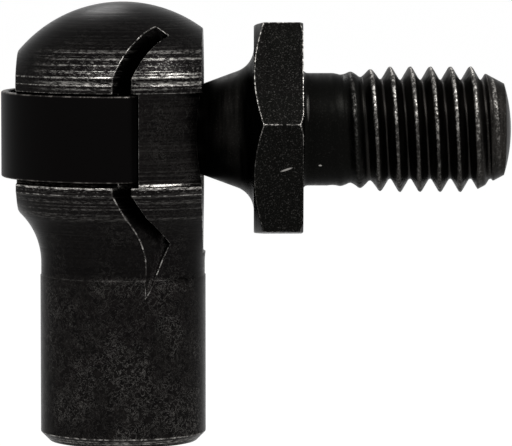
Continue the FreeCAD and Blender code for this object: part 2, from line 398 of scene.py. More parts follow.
# Every sharp edge gets a small radius, but for the slopes of the lands, which are as small
# themselves and only count as worn.
work = bmesh.new()
work.from_mesh(socket.data)
bmesh.ops.remove_doubles(work, verts=work.verts, dist=same_place)
weight = work.edges.layers.float.new("bevel_weight_edge")
slopes = set()
for face in work.faces:
    middle = face.calc_center_median()
    radius = math.hypot(middle.x, middle.y)
    sloped = 0.3 < abs(face.normal.z) < 0.95
    if sloped and head_radius < radius < land_radius and head_foot < middle.z < shoulder:
        slopes.add(face)
    if sloped and neck_radius < radius < shank_radius and abs(middle.z - neck_foot) < land_rise:
        slopes.add(face)
for edge in work.edges:
    edge.smooth = True
    sharp = len(edge.link_faces) == 2 and edge.calc_face_angle() > smallest_edge
    if sharp and edge.is_convex and not slopes.intersection(edge.link_faces):
        edge[weight] = 1.0
for face in work.faces:
    face.smooth = True
    face.material_index = 1 if face in slopes else 0
work.to_mesh(socket.data)
work.free()
round_edges(socket, edge_round, 2)


# Blackened turned steel: black oxide is a thin dark skin, so the surface stays a metal. The
# lathe leaves fine rings in it, and where rings and corners stand proud the skin is rubbed
# through to bright steel, more on the lower land than elsewhere. On the lower dome the bright
# rings are partly wear and partly a painted highlight, in a band where the lamps' highlight falls.
black_oxide = "0d0c0c"
oxide_sheen = "1e1c1b"
bare_steel = "d8d4ce"
dull_rim = "c6c6c6"  # an oxide skin doesn't flash white where it turns away, as bare metal does
ring_wear_and_highlight_zones = [  # height up the socket in mm, share of bright rings: wear, and on the lower dome also a painted highlight
    (0.0, 0.65), (0.3, 0.60), (0.5, 0.0), (10.8, 0.0), (14.0, 0.01), (14.2, 0.08), (15.95, 0.13),
    (16.00, 1.00), (16.36, 1.00), (16.42, 0.03), (21.8, 0.02), (22.3, 0.45), (23.1, 0.76),
    (24.1, 0.52), (24.7, 0.05), (25.2, 0.02), (27.3, 0.03)]
skin_tone_and_shade_zones = [  # height up the socket in mm, how pale the skin is: darker on the neck, and darkest on the dome as painted shade against its bright reflection of the surround overhead
    (0.0, 0.65), (10.2, 0.65), (10.7, 0.2), (13.6, 0.2), (14.2, 0.3), (15.9, 0.3),
    (16.4, 0.65), (21.9, 0.65), (22.6, 0.05), (27.3, 0.05)]
scratch_zones = [  # height up the socket in mm, share of scratches
    (0.0, 1.0), (10.2, 1.0), (10.7, 0.3), (15.9, 0.3), (16.4, 0.4), (24.0, 0.25), (27.3, 0.25)]

# Sizes of the patterns in mm, the rings' across the axis twice and then up it. The lathe's
# real feed is too fine to show, so its rings are drawn about twice as coarse.
fine_ring = (4, 4, 1 / 12)
bright_ring = (1 / 0.06, 1 / 0.06, 1 / 9)
ring_gap = (1 / 2.4, 1 / 2.4, 1 / 9)
ring_grain = (0.2, 0.2, 0.1)
scratch_loop = 1 / 2.9
scratch_patch = 1 / 0.32
edge_stretch = 1 / 3
mottle_spot = 1 / 1.9

# How bare of oxide each mark is at most, from 0 to 1
grain_bare = 0.22
scratch_bare = 0.12
edge_bare = 0.55
burr_bare = 0.3
step_shade_share = 0.08  # of an edge's bright wear kept at the small step where the neck starts, as painted shade over a lamp's highlight

shade_left_from = -5.4  # mm of X: beyond it the dome's left side keeps few bright rings, as painted shade
shade_left_to = -3.0
shade_left_least = 0.03
groove_height = 19.0  # mm of Z: above it the two limits that follow hold
sawn_depth = 0.55  # mm under the dome's sphere, where only the slots' walls lie
turned_depth = 0.4
step_reach = 0.35  # mm above and below the step
skin_relief = 0.02 * MM


def mm_space(tree):
    """The place on a piece in mm, and its X, Y and Z."""
    place = add(tree, "ShaderNodeTexCoord")
    place = add(tree, "ShaderNodeVectorMath", {0: place.outputs["Object"], "Scale": 1 / MM},
                operation="SCALE").outputs[0]
    return place, add(tree, "ShaderNodeSeparateXYZ", {0: place}).outputs


def share_along(tree, along, zones, length):
    """The share at a place along a piece, given as a part of its length, from a list of
    (place in mm, share)."""
    ramp = add(tree, "ShaderNodeValToRGB", {0: along})
    stops = ramp.color_ramp.elements
    while len(stops) < len(zones):
        stops.new(1.0)
    for stop, (mm, share) in zip(stops, zones):
        stop.position = min(1.0, mm * MM / length)
        stop.color = (share, share, share, 1)
    return ramp.outputs[0]


def mark(tree, place, centre, half_sizes, lean=0.0):
    """Full inside one small ellipsoid and nothing outside; centre and half sizes in mm."""
    moved = add(tree, "ShaderNodeMapping", {
        "Vector": place, "Location": centre, "Rotation": (0, math.radians(lean), 0),
        "Scale": half_sizes}, vector_type="TEXTURE")
    away = add(tree, "ShaderNodeVectorMath", {0: moved.outputs[0]}, operation="LENGTH")
    return add(tree, "ShaderNodeMapRange", {
        "Value": away.outputs["Value"], "From Min": 0.6, "From Max": 1.0, "To Min": 1.0,
        "To Max": 0.0}).outputs[0]


blackened_steel, tree = new_material("blackened_turned_steel")
mm_place, axes = mm_space(tree)
height = add(tree, "ShaderNodeMath", {0: axes["Z"], 1: dome_top / MM},
             operation="DIVIDE").outputs[0]

# Rings: noise drawn out round the axis, the bright ones broken into dashes and grains
noises = []
for size, detail, roughness in ((fine_ring, 3.0, 0.6), (bright_ring, 2.0, 0.5),
                                (ring_gap, 5.0, 0.78), (ring_grain, 2.0, 0.6)):
    space = add(tree, "ShaderNodeVectorMath", {0: mm_place, 1: [1 / mm for mm in size]},
                operation="MULTIPLY")
    noises.append(add(tree, "ShaderNodeTexNoise", {
        "Vector": space.outputs[0], "Scale": 1.0, "Detail": detail, "Roughness": roughness}))
fine_rings, bright_rings, ring_break, grain = noises
bright_rings = add(tree, "ShaderNodeMapRange", {
    "Value": bright_rings.outputs[0], "From Min": 0.50, "From Max": 0.59})
ring_break = add(tree, "ShaderNodeMapRange", {
    "Value": ring_break.outputs[0], "From Min": 0.44, "From Max": 0.64}).outputs[0]
grain = add(tree, "ShaderNodeMapRange", {
    "Value": grain.outputs[0], "From Min": 0.56, "From Max": 0.72, "To Max": grain_bare})
bright_rings = add(tree, "ShaderNodeMath", {0: bright_rings.outputs[0], 1: ring_break},
                   operation="MULTIPLY")
bright_rings = add(tree, "ShaderNodeMath", {0: bright_rings.outputs[0], 1: grain.outputs[0]},
                   operation="MAXIMUM")

# They fade towards the dome's left side, which is painted shade, and the slots' sawn walls carry none
below = add(tree, "ShaderNodeMath", {0: axes["Z"], 1: groove_height}, operation="LESS_THAN")
painted_left_shade = add(tree, "ShaderNodeMapRange", {
    "Value": axes["X"], "From Min": shade_left_from, "From Max": shade_left_to,
    "To Min": shade_left_least})
from_centre = add(tree, "ShaderNodeVectorMath", {
    0: mm_place, 1: (0, 0, (dome_top - dome_radius) / MM)}, operation="SUBTRACT")
from_centre = add(tree, "ShaderNodeVectorMath", {0: from_centre.outputs[0]}, operation="LENGTH")
turned_skin = add(tree, "ShaderNodeMapRange", {
    "Value": from_centre.outputs["Value"], "From Min": dome_radius / MM - sawn_depth,
    "From Max": dome_radius / MM - turned_depth})
rings_here = add(tree, "ShaderNodeMath", {
    0: bright_rings.outputs[0], 1: share_along(tree, height, ring_wear_and_highlight_zones, dome_top)},
    operation="MULTIPLY")
for limit in (painted_left_shade, turned_skin):
    limit = add(tree, "ShaderNodeMath", {0: limit.outputs[0], 1: below.outputs[0]},
                operation="MAXIMUM")
    rings_here = add(tree, "ShaderNodeMath", {0: rings_here.outputs[0], 1: limit.outputs[0]},
                     operation="MULTIPLY")

# Handling marks: a tangle of fine scratches in patches, which are a noise's contour lines,
# and edges worn in broken stretches
scratch = add(tree, "ShaderNodeTexNoise", {
    "Vector": mm_place, "Scale": 1 / scratch_loop, "Detail": 4.0, "Roughness": 0.68,
    "Distortion": 0.8})
scratch = add(tree, "ShaderNodeMath", {0: scratch.outputs[0], 1: 0.5}, operation="SUBTRACT")
scratch = add(tree, "ShaderNodeMath", {0: scratch.outputs[0]}, operation="ABSOLUTE")
scratch = add(tree, "ShaderNodeMapRange", {
    "Value": scratch.outputs[0], "From Min": 0.003, "From Max": 0.018, "To Min": scratch_bare,
    "To Max": 0.0})
patch = add(tree, "ShaderNodeTexNoise", {
    "Vector": mm_place, "Scale": 1 / scratch_patch, "Detail": 3.0, "Roughness": 0.6})
patch = add(tree, "ShaderNodeMapRange", {
    "Value": patch.outputs[0], "From Min": 0.42, "From Max": 0.60, "To Min": 0.25})
scratch = add(tree, "ShaderNodeMath", {0: scratch.outputs[0], 1: patch.outputs[0]},
              operation="MULTIPLY")
scratch = add(tree, "ShaderNodeMath", {
    0: scratch.outputs[0], 1: share_along(tree, height, scratch_zones, dome_top)},
    operation="MULTIPLY")
edge_break = add(tree, "ShaderNodeTexNoise", {
    "Vector": mm_place, "Scale": 1 / edge_stretch, "Detail": 5.0, "Roughness": 0.75})
edge_break = add(tree, "ShaderNodeMapRange", {
    "Value": edge_break.outputs[0], "From Min": 0.46, "From Max": 0.66, "To Min": 0.03,
    "To Max": edge_bare})
worn = add(tree, "ShaderNodeAttribute", attribute_name="worn")
worn_with_painted_light = add(tree, "ShaderNodeMath", {0: worn.outputs["Fac"], 1: edge_break.outputs[0]},
                operation="MULTIPLY")
# Painted shade: the worn edges go almost dark at the small step where the neck starts
at_step = add(tree, "ShaderNodeMath", {
    0: axes["Z"], 1: neck_foot / MM, 2: step_reach}, operation="COMPARE")
step_painted_shade = add(tree, "ShaderNodeMapRange", {
    "Value": at_step.outputs[0], "To Min": 1.0, "To Max": step_shade_share})
worn_with_painted_light = add(tree, "ShaderNodeMath", {0: worn_with_painted_light.outputs[0], 1: step_painted_shade.outputs[0]},
                operation="MULTIPLY")

# The burr that the saw leaves at the lower edge of the near slot
saw_burr = mark(tree, mm_place, (0.45, -6.90, 14.20), (0.16, 0.9, 0.50), -30.0)
saw_burr = add(tree, "ShaderNodeMath", {0: saw_burr, 1: ring_break}, operation="MULTIPLY")
saw_burr = add(tree, "ShaderNodeMath", {0: saw_burr.outputs[0], 1: burr_bare},
               operation="MULTIPLY")
bare = rings_here
for rubbed in (worn_with_painted_light, scratch, saw_burr):
    bare = add(tree, "ShaderNodeMath", {0: bare.outputs[0], 1: rubbed.outputs[0]},
               operation="MAXIMUM")

# The shank is drawn bar, left as it came: mottled, without rings
mottle = add(tree, "ShaderNodeTexNoise", {
    "Vector": mm_place, "Scale": 1 / mottle_spot, "Detail": 4.0, "Roughness": 0.7})
on_head = add(tree, "ShaderNodeMapRange", {
    "Value": axes["Z"], "From Min": neck_foot / MM - 0.05,
    "From Max": neck_foot / MM + 0.3})
marks = add(tree, "ShaderNodeMix", {
    0: on_head.outputs[0], 2: mottle.outputs[0], 3: fine_rings.outputs[0]}, data_type="FLOAT")
skin_with_painted_light = add(tree, "ShaderNodeMapRange", {
    "Value": marks.outputs[0], "From Min": 0.40, "From Max": 0.68, "To Min": 0.1})
# The skin's tone by height, with painted shade on the dome
skin_with_painted_light = add(tree, "ShaderNodeMath", {
    0: skin_with_painted_light.outputs[0], 1: share_along(tree, height, skin_tone_and_shade_zones, dome_top)},
    operation="MULTIPLY")
skin_with_painted_light = add(tree, "ShaderNodeMix", {
    0: skin_with_painted_light.outputs[0], 6: linear(black_oxide), 7: linear(oxide_sheen)}, data_type="RGBA")
colour = add(tree, "ShaderNodeMix", {
    0: bare.outputs[0], 6: skin_with_painted_light.outputs[2], 7: linear(bare_steel)}, data_type="RGBA")
gloss = add(tree, "ShaderNodeMapRange", {
    "Value": marks.outputs[0], "From Min": 0.3, "From Max": 0.7, "To Min": 0.27,
    "To Max": 0.36})
relief = add(tree, "ShaderNodeBump", {
    "Height": marks.outputs[0], "Strength": 0.55, "Distance": skin_relief})
steel = add(tree, "ShaderNodeBsdfPrincipled", {
    "Base Color": colour.outputs[2], "Roughness": gloss.outputs[0], "Metallic": 1.0,
    "Specular Tint": linear(dull_rim), "Normal": relief.outputs[0]})
add(tree, "ShaderNodeOutputMaterial", {"Surface": steel.outputs[0]})
socket.data.materials.clear()
socket.data.materials.append(blackened_steel)
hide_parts("ball_socket")
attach(socket, "socket")


# ---------------------------------------------------------------------------------------
# Safety clip. A strip of spring steel with rolled edges, bent into a band that springs
# round the socket's groove, and turned in at both ends through the slots beside the ball.

strip_thickness = 0.5 * MM
strip_width = 5.3 * MM
strip_edge_round = 0.11 * MM
strip_lift = 0.07 * MM  # above the groove's middle
arm_steps = 8
bend_steps = 12
band_steps = 60
band_radius = groove_floor + 0.1 * MM + strip_thickness / 2  # to the strip's middle
arm_outside = slot_front - 0.07 * MM
arm_middle = arm_outside - strip_thickness / 2
arm_tip = math.sqrt((ball_radius + 0.05 * MM) ** 2 - (arm_outside - strip_thickness) ** 2)
bend_radius = 0.5 * MM + strip_thickness / 2
bend_along = math.sqrt((band_radius - bend_radius) ** 2 - (arm_middle - bend_radius) ** 2)
strip_middle = groove_middle + strip_lift


def clip_half(side):
    """The strip's middle line from one arm's tip to the start of the band."""
    across = Vector((math.cos(slot_angle), side * math.sin(slot_angle)))
    along = Vector((-math.sin(slot_angle), side * math.cos(slot_angle)))
    bend = across * (arm_middle - bend_radius) + along * bend_along
    bend_start = bend + across * bend_radius
    band_start = bend + bend.normalized() * bend_radius
    tip = across * arm_middle + along * arm_tip
    straight = [tuple(tip.lerp(bend_start, k / arm_steps)) for k in range(arm_steps + 1)]
    return straight + arc(bend, bend_start, band_start, bend_steps)


first_half, last_half = clip_half(1), clip_half(-1)[::-1]
band = arc((0, 0), first_half[-1], (-band_radius, 0), band_steps)
band += arc((0, 0), band[-1], last_half[0], band_steps)[:-1]
route = [(x, y, strip_middle) for x, y in first_half + band + last_half]
route_mesh = bpy.data.meshes.new("clip_strip")
route_mesh.from_pydata(route, [(k, k + 1) for k in range(len(route) - 1)], [])
clip = mesh_object("clip_strip", route_mesh)


def geometry_tree(name, inputs):
    """A Geometry Nodes group with the inputs given as {name: socket type}, and its ends."""
    tree = bpy.data.node_groups.new(name, "GeometryNodeTree")
    tree.interface.new_socket("Geometry", in_out="INPUT", socket_type="NodeSocketGeometry")
    for label, kind in inputs.items():
        tree.interface.new_socket(label, in_out="INPUT", socket_type="NodeSocket" + kind)
    tree.interface.new_socket("Geometry", in_out="OUTPUT", socket_type="NodeSocketGeometry")
    return tree, add(tree, "NodeGroupInput").outputs


def run_tree(made, tree, values):
    """Runs a tree on an object with the values given by input name, and keeps the mesh."""
    nodes = made.modifiers.new(tree.name, "NODES")
    nodes.node_group = tree
    for item in tree.interface.items_tree:
        if item.name in values:
            nodes[item.identifier] = values[item.name]
    mesh = settle(made)
    face_outwards(mesh)
    mesh.materials.clear()
    mesh.materials.append(values["Steel"])
    mesh.polygons.foreach_set("material_index", [0] * len(mesh.polygons))
    return mesh


strip_tree, given = geometry_tree("bent_strip", {
    "Thickness": "Float", "Width": "Float", "Edge Radius": "Float", "Steel": "Material"})
section = add(strip_tree, "GeometryNodeCurvePrimitiveQuadrilateral",
              {"Width": given["Thickness"], "Height": given["Width"]})
section = add(strip_tree, "GeometryNodeFilletCurve",
              {"Curve": section.outputs[0], "Radius": given["Edge Radius"], "Count": 4}, mode="POLY")
path = add(strip_tree, "GeometryNodeMeshToCurve", {"Mesh": given["Geometry"]})
path = add(strip_tree, "GeometryNodeSetCurveNormal", {"Curve": path.outputs[0]}, mode="Z_UP")
swept = add(strip_tree, "GeometryNodeCurveToMesh",
            {"Curve": path.outputs[0], "Profile Curve": section.outputs[0], "Fill Caps": True})
smooth = add(strip_tree, "GeometryNodeSetShadeSmooth", {"Geometry": swept.outputs[0]})
real = add(strip_tree, "GeometryNodeRealizeInstances", {"Geometry": smooth.outputs[0]})
painted = add(strip_tree, "GeometryNodeSetMaterial",
              {"Geometry": real.outputs[0], "Material": given["Steel"]})
add(strip_tree, "NodeGroupOutput", {"Geometry": painted.outputs[0]})


# Tempered spring steel: rolled strip, oiled black all over, smooth and satin. The two sheared
# edges are rubbed paler in short stretches.
strip_black = "0b0a0a"
sheared_edge = "6e6a66"
rubbed_stretch = 1 / 1.8  # mm

spring_steel, tree = new_material("tempered_spring_steel")
mm_place, axes = mm_space(tree)
from_middle = add(tree, "ShaderNodeMath", {0: axes["Z"], 1: strip_middle / MM},
                  operation="SUBTRACT")
from_middle = add(tree, "ShaderNodeMath", {0: from_middle.outputs[0]}, operation="ABSOLUTE")
at_edge = add(tree, "ShaderNodeMapRange", {
    "Value": from_middle.outputs[0], "From Min": strip_width / 2 / MM - 0.10,
    "From Max": strip_width / 2 / MM - 0.04})
stretches = add(tree, "ShaderNodeTexNoise", {
    "Vector": mm_place, "Scale": 1 / rubbed_stretch, "Detail": 3.0, "Roughness": 0.7})
stretches = add(tree, "ShaderNodeMapRange", {
    "Value": stretches.outputs[0], "From Min": 0.46, "From Max": 0.60, "To Min": 0.15})
rubbed_edge = add(tree, "ShaderNodeMath", {0: at_edge.outputs[0], 1: stretches.outputs[0]},
                  operation="MULTIPLY")
colour = add(tree, "ShaderNodeMix", {
    0: rubbed_edge.outputs[0], 6: linear(strip_black), 7: linear(sheared_edge)}, data_type="RGBA")
steel = add(tree, "ShaderNodeBsdfPrincipled", {
    "Base Color": colour.outputs[2], "Roughness": 0.42, "Metallic": 1.0,
    "Specular Tint": linear(dull_rim)})
add(tree, "ShaderNodeOutputMaterial", {"Surface": steel.outputs[0]})


run_tree(clip, strip_tree, {"Thickness": strip_thickness, "Width": strip_width,
                            "Edge Radius": strip_edge_round, "Steel": spring_steel})
clip.data.set_sharp_from_angle(angle=math.radians(50))
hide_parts("safety_clip")
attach(clip, "socket")


# ---------------------------------------------------------------------------------------
# Ball stud. Cold-formed and turned in one piece: ball, conical neck, hexagon and shank.
# Its M8 thread is rolled last, and the whole stud is blacked and then oiled.

neck_start_radius = 2.58 * MM
neck_angle = math.radians(20.15)
neck_corner = 1.55 * MM
hex_front = 8.15 * MM
hex_apothem = 6.45 * MM
hex_turn = math.radians(5.4)
hex_back = hex_front + 3.05 * MM
hex_front_circle = hex_apothem - 0.05 * MM
hex_corner = hex_apothem / math.cos(math.pi / 6)
hex_back_circle = hex_corner - 0.33 * MM
hex_bevel_slope = math.tan(math.radians(30))
hex_round = 0.055 * MM
stud_radius = 3.5 * MM
stud_corner = 0.3 * MM
stud_face_radius = 5.2 * MM  # a ring on the hexagon's back face
pitch = 1.25 * MM
crest_radius = 3.9 * MM
root_radius = 3.09 * MM
crest_place = 16.63 * MM  # a crest on the upper side
runout_start = 12.7 * MM
thread_full = 16.3 * MM
end_bevel_start = 21.75 * MM
thread_end = 23.70 * MM
end_radius = 2.85 * MM
end_dome = 0.43 * MM
columns = 288
rows_per_pitch = 16
flat_rows = 8
smallest_stud_edge = math.radians(35)  # of the edges that are rounded
smallest_flat_edge = math.radians(18)  # of the edges that stay sharp in the shading

column_step = 2 * math.pi / columns
near_corner = math.pi - hex_turn
first_angle = near_corner % column_step
angles = [first_angle + column_step * k for k in range(columns)]
hexagon = []
for angle in angles:
    off = (angle - near_corner + math.pi / 6) % (math.pi / 3) - math.pi / 6
    hexagon.append(hex_apothem / math.cos(math.pi / 6 - abs(off)))

neck_start = math.sqrt(ball_radius ** 2 - neck_start_radius ** 2)
flare = neck_start_radius + (hex_front - neck_start) * math.tan(neck_angle)
run = neck_corner * math.tan((math.pi / 2 - neck_angle) / 2)
flare_start = (hex_front - run * math.cos(neck_angle), flare - run * math.sin(neck_angle))
flare_end = (hex_front, flare + run)
root_centre = (hex_back + stud_corner, stud_radius + stud_corner)


def turned_rows(outline):
    """One row of (along, radius) for each of the outline's rings."""
    return [[ring] * columns for ring in rings_of(outline)]


def hexagon_rows():
    """Rows over the front bevel, the flats and the back bevel of the hexagon."""
    edges = []
    for radius in hexagon:
        front = hex_front + (radius - hex_front_circle) * hex_bevel_slope
        back = hex_back - max(0, radius - hex_back_circle) * hex_bevel_slope
        edges.append((front, back, radius))
    rows = [[(hex_front, hex_front_circle)] * columns]
    rows += [[(front + (back - front) * k / flat_rows, radius) for front, back, radius in edges]
             for k in range(flat_rows + 1)]
    rows.append([(hex_back, min(radius, hex_back_circle) - hex_round / 2) for radius in hexagon])
    return rows


def stud_shell(work, rows):
    """Adds rows to a mesh, with a pole where a row's radius is nothing."""
    previous = None
    for row in rows:
        if row[0][1] < nothing:
            ring = [work.verts.new((row[0][0], 0, ball_height))] * columns
        else:
            ring = [work.verts.new((x, r * math.cos(a), ball_height + r * math.sin(a)))
                    for (x, r), a in zip(row, angles)]
        for k in range(columns if previous else 0):
            loop = [previous[k - 1], previous[k], ring[k], ring[k - 1]]
            work.faces.new(list(dict.fromkeys(loop)))
        previous = ring


front_outline = [(-ball_radius, 0)]
front_outline += arc((0, 0), front_outline[0], (0, ball_radius), 40)
front_outline += arc((0, 0), (0, ball_radius), (neck_start, neck_start_radius), 24)
front_outline.append(flare_start)
front_outline += arc((hex_front - neck_corner, flare + run), flare_start, flare_end, 12)
back_outline = [(hex_back, stud_face_radius), (hex_back, stud_radius + stud_corner)]
back_outline += arc(root_centre, back_outline[-1], (hex_back + stud_corner, stud_radius), 6)
back_outline.append((runout_start, stud_radius))
end_centre = thread_end + end_dome - (end_radius ** 2 + end_dome ** 2) / (2 * end_dome)
end_outline = [(thread_end, end_radius)]
end_outline += arc((end_centre, 0), end_outline[0], (thread_end + end_dome, 0), 16)

work = bmesh.new()
stud_shell(work, turned_rows(front_outline) + hexagon_rows() + turned_rows(back_outline))
stud_shell(work, turned_rows(end_outline))
bmesh.ops.recalc_face_normals(work, faces=work.faces)
weight = work.edges.layers.float.new("bevel_weight_edge")
for edge in work.edges:
    if len(edge.link_faces) == 2 and edge.calc_face_angle() > smallest_stud_edge:
        edge[weight] = 1.0
for face in work.faces:
    face.smooth = True
stud_mesh = bpy.data.meshes.new("rolled_stud")
work.to_mesh(stud_mesh)
work.free()
stud = mesh_object("rolled_stud", stud_mesh)

# The thread: a grid wound round the shank so that its rows follow the helix, each row as
# high as its place in the pitch says, fading in over the run-out and cut by the end bevel.
root_edge = 0.44  # part of a pitch off the crest at which the flank ends in the root
crest_edge = 0.06  # and at which it ends in the crest
runout_curve = 1.7  # the crest rises later than the root sinks
nick_depth = 0.07 * MM
nick_length = 0.5 * MM
seam_gap = 0.001 * MM

thread_tree, given = geometry_tree("rolled_thread", {
    "Pitch": "Float", "Crest Radius": "Float", "Root Radius": "Float", "Shank Radius": "Float",
    "End Radius": "Float", "Start": "Float", "Full Depth": "Float", "Bevel Start": "Float",
    "End": "Float", "Crest Row": "Float", "First Row": "Float", "Reach": "Float",
    "Axis Height": "Float", "First Angle": "Float", "Nick Depth": "Float", "Nick Scale": "Float",
    "Columns": "Int", "Rows": "Int", "Steel": "Material"})
grid = add(thread_tree, "GeometryNodeMeshGrid", {
    "Size X": 2 * math.pi, "Size Y": given["Reach"],
    "Vertices X": given["Columns"], "Vertices Y": given["Rows"]})
flat = add(thread_tree, "ShaderNodeSeparateXYZ",
           {0: add(thread_tree, "GeometryNodeInputPosition").outputs[0]})
turn = add(thread_tree, "ShaderNodeMath", {0: flat.outputs["X"], 1: given["First Angle"]})
row_place = add(thread_tree, "ShaderNodeMath", {0: flat.outputs["Y"], 1: given["First Row"]})
lead = add(thread_tree, "ShaderNodeMath", {0: flat.outputs["X"], 1: 2 * math.pi},
           operation="DIVIDE")
wound = add(thread_tree, "ShaderNodeMath", {
    0: lead.outputs[0], 1: given["Pitch"], 2: row_place.outputs[0]}, operation="MULTIPLY_ADD")
place = add(thread_tree, "ShaderNodeClamp",
            {"Value": wound.outputs[0], "Min": given["Start"], "Max": given["End"]})
phase = add(thread_tree, "ShaderNodeMath",
            {0: row_place.outputs[0], 1: given["Crest Row"]}, operation="SUBTRACT")
phase = add(thread_tree, "ShaderNodeMath", {0: phase.outputs[0], 1: given["Pitch"]},
            operation="DIVIDE")
off_crest = add(thread_tree, "ShaderNodeMath", {0: phase.outputs[0], 1: 0.5},
                operation="PINGPONG")
flank = add(thread_tree, "ShaderNodeMapRange",
            {"Value": off_crest.outputs[0], "From Min": root_edge, "From Max": crest_edge})
depth = add(thread_tree, "ShaderNodeMapRange", {
    "Value": place.outputs[0], "From Min": given["Start"], "From Max": given["Full Depth"]})
swell = add(thread_tree, "ShaderNodeMath", {0: depth.outputs[0], 1: runout_curve},
            operation="POWER")
crest = add(thread_tree, "ShaderNodeMix", {
    0: swell.outputs[0], 2: given["Shank Radius"], 3: given["Crest Radius"]}, data_type="FLOAT")
root = add(thread_tree, "ShaderNodeMix", {
    0: depth.outputs[0], 2: given["Shank Radius"], 3: given["Root Radius"]}, data_type="FLOAT")
form = add(thread_tree, "ShaderNodeMix", {
    0: flank.outputs[0], 2: root.outputs[0], 3: crest.outputs[0]}, data_type="FLOAT")
bevel_cone = add(thread_tree, "ShaderNodeMapRange", {
    "Value": place.outputs[0], "From Min": given["Bevel Start"], "From Max": given["End"],
    "To Min": given["Crest Radius"], "To Max": given["End Radius"]})
sine = add(thread_tree, "ShaderNodeMath", {0: turn.outputs[0]}, operation="SINE")
cosine = add(thread_tree, "ShaderNodeMath", {0: turn.outputs[0]}, operation="COSINE")
around = add(thread_tree, "ShaderNodeCombineXYZ", {1: cosine.outputs[0], 2: sine.outputs[0]})
on_crest = add(thread_tree, "ShaderNodeVectorMath", {
    0: around.outputs[0], "Scale": given["Crest Radius"]}, operation="SCALE")
along_axis = add(thread_tree, "ShaderNodeCombineXYZ", {0: place.outputs[0]})
spot = add(thread_tree, "ShaderNodeVectorMath", {
    0: on_crest.outputs[0], 1: along_axis.outputs[0]})
nicks = add(thread_tree, "ShaderNodeTexNoise", {
    "Vector": spot.outputs[0], "Scale": given["Nick Scale"], "Detail": 2.0})
nicks = add(thread_tree, "ShaderNodeMapRange", {
    "Value": nicks.outputs[0], "From Min": 0.5, "From Max": 0.75, "To Max": given["Nick Depth"]})
for share in (flank, depth):
    nicks = add(thread_tree, "ShaderNodeMath", {0: nicks.outputs[0], 1: share.outputs[0]},
                operation="MULTIPLY")
form = add(thread_tree, "ShaderNodeMath", {0: form.outputs[0], 1: nicks.outputs[0]},
           operation="SUBTRACT")
form = add(thread_tree, "ShaderNodeMath", {0: form.outputs[0], 1: bevel_cone.outputs[0]},
           operation="MINIMUM")
out = add(thread_tree, "ShaderNodeVectorMath",
          {0: around.outputs[0], "Scale": form.outputs[0]}, operation="SCALE")
centre_line = add(thread_tree, "ShaderNodeCombineXYZ",
                  {0: place.outputs[0], 2: given["Axis Height"]})
spot = add(thread_tree, "ShaderNodeVectorMath", {0: out.outputs[0], 1: centre_line.outputs[0]})

# Only the crests are rubbed bright, less at the run-out and to the end bevel's last edge
rubbed = add(thread_tree, "ShaderNodeMapRange",
             {"Value": flank.outputs[0], "From Min": 0.88, "From Max": 1.0})
rubbed_depth = add(thread_tree, "ShaderNodeMapRange",
                   {"Value": depth.outputs[0], "From Min": 0.25, "From Max": 0.8})
rubbed_end = add(thread_tree, "ShaderNodeMapRange", {
    "Value": place.outputs[0], "From Min": given["End"], "From Max": given["Bevel Start"],
    "To Min": 0.0})
rubbed_end = add(thread_tree, "ShaderNodeMath", {0: rubbed_end.outputs[0], 1: 2.5},
                 operation="MULTIPLY", use_clamp=True)
for share in (rubbed_depth, rubbed_end):
    rubbed = add(thread_tree, "ShaderNodeMath", {0: rubbed.outputs[0], 1: share.outputs[0]},
                 operation="MULTIPLY")
marked = add(thread_tree, "GeometryNodeStoreNamedAttribute", {
    "Geometry": grid.outputs[0], "Name": "rubbed", "Value": rubbed.outputs[0]},
    data_type="FLOAT", domain="POINT")
shaped = add(thread_tree, "GeometryNodeSetPosition",
             {"Geometry": marked.outputs[0], "Position": spot.outputs[0]})
joined = add(thread_tree, "GeometryNodeJoinGeometry", {0: shaped.outputs[0]})
thread_tree.links.new(given["Geometry"], joined.inputs[0])
merged = add(thread_tree, "GeometryNodeMergeByDistance",
             {"Geometry": joined.outputs[0], "Distance": seam_gap})
smooth = add(thread_tree, "GeometryNodeSetShadeSmooth", {"Geometry": merged.outputs[0]})
real = add(thread_tree, "GeometryNodeRealizeInstances", {"Geometry": smooth.outputs[0]})
painted = add(thread_tree, "GeometryNodeSetMaterial",
              {"Geometry": real.outputs[0], "Material": given["Steel"]})
add(thread_tree, "NodeGroupOutput", {"Geometry": painted.outputs[0]})

row_step = pitch / rows_per_pitch
thread_rows = math.ceil((thread_end - runout_start) / row_step) + rows_per_pitch
reach = thread_rows * row_step
top_lead = pitch * (math.pi / 2 - first_angle) / (2 * math.pi)


# Blackened cold-formed steel: black oxide over turned and rolled surfaces, oiled and then
# handled, so the hexagon is freckled with rubbed spots and its corners and the thread's
# crests are worn bright in broken stretches.
stud_black = "0b0b0a"
# The pale skin colour, which the zones below also use as painted light
stud_sheen = "2a2826"
stud_bare = "d4d0ca"
freckle_zones = [  # distance along the stud from the ball's centre in mm, share of freckles
    (4.2, 0.30), (8.0, 0.35), (8.2, 0.90), (11.1, 1.00), (11.3, 0.15), (12.8, 0.15),
    (13.2, 0.10), (21.9, 0.20), (22.4, 1.00), (24.1, 1.00)]
skin_tone_and_light_zones = [  # the same distances, how pale the skin is: partly its own tone and partly painted light, paler on the cone against the socket's dark reflection in it, darker on the hexagon, the plain shank and the run-out against the lamps' highlights, palest on the thread
    (4.2, 0.36), (8.0, 0.32), (8.2, 0.06), (11.1, 0.06), (11.3, 0.025), (13.2, 0.025),
    (14.6, 0.06), (15.6, 1.0), (24.1, 1.0)]
wear_zones = [  # the same distances, how bare its edges are rubbed
    (4.2, 1.0), (11.3, 1.0), (12.6, 0.3), (14.5, 0.4), (15.6, 1.0), (24.1, 1.0)]

# Sizes of the patterns in mm, the rings' along the axis and then across it twice
turned_ring = (1 / 4.5, 1 / 0.35, 1 / 0.35)
freckle = 0.1
worn_stretch = 0.2
turned_relief = 0.015 * MM

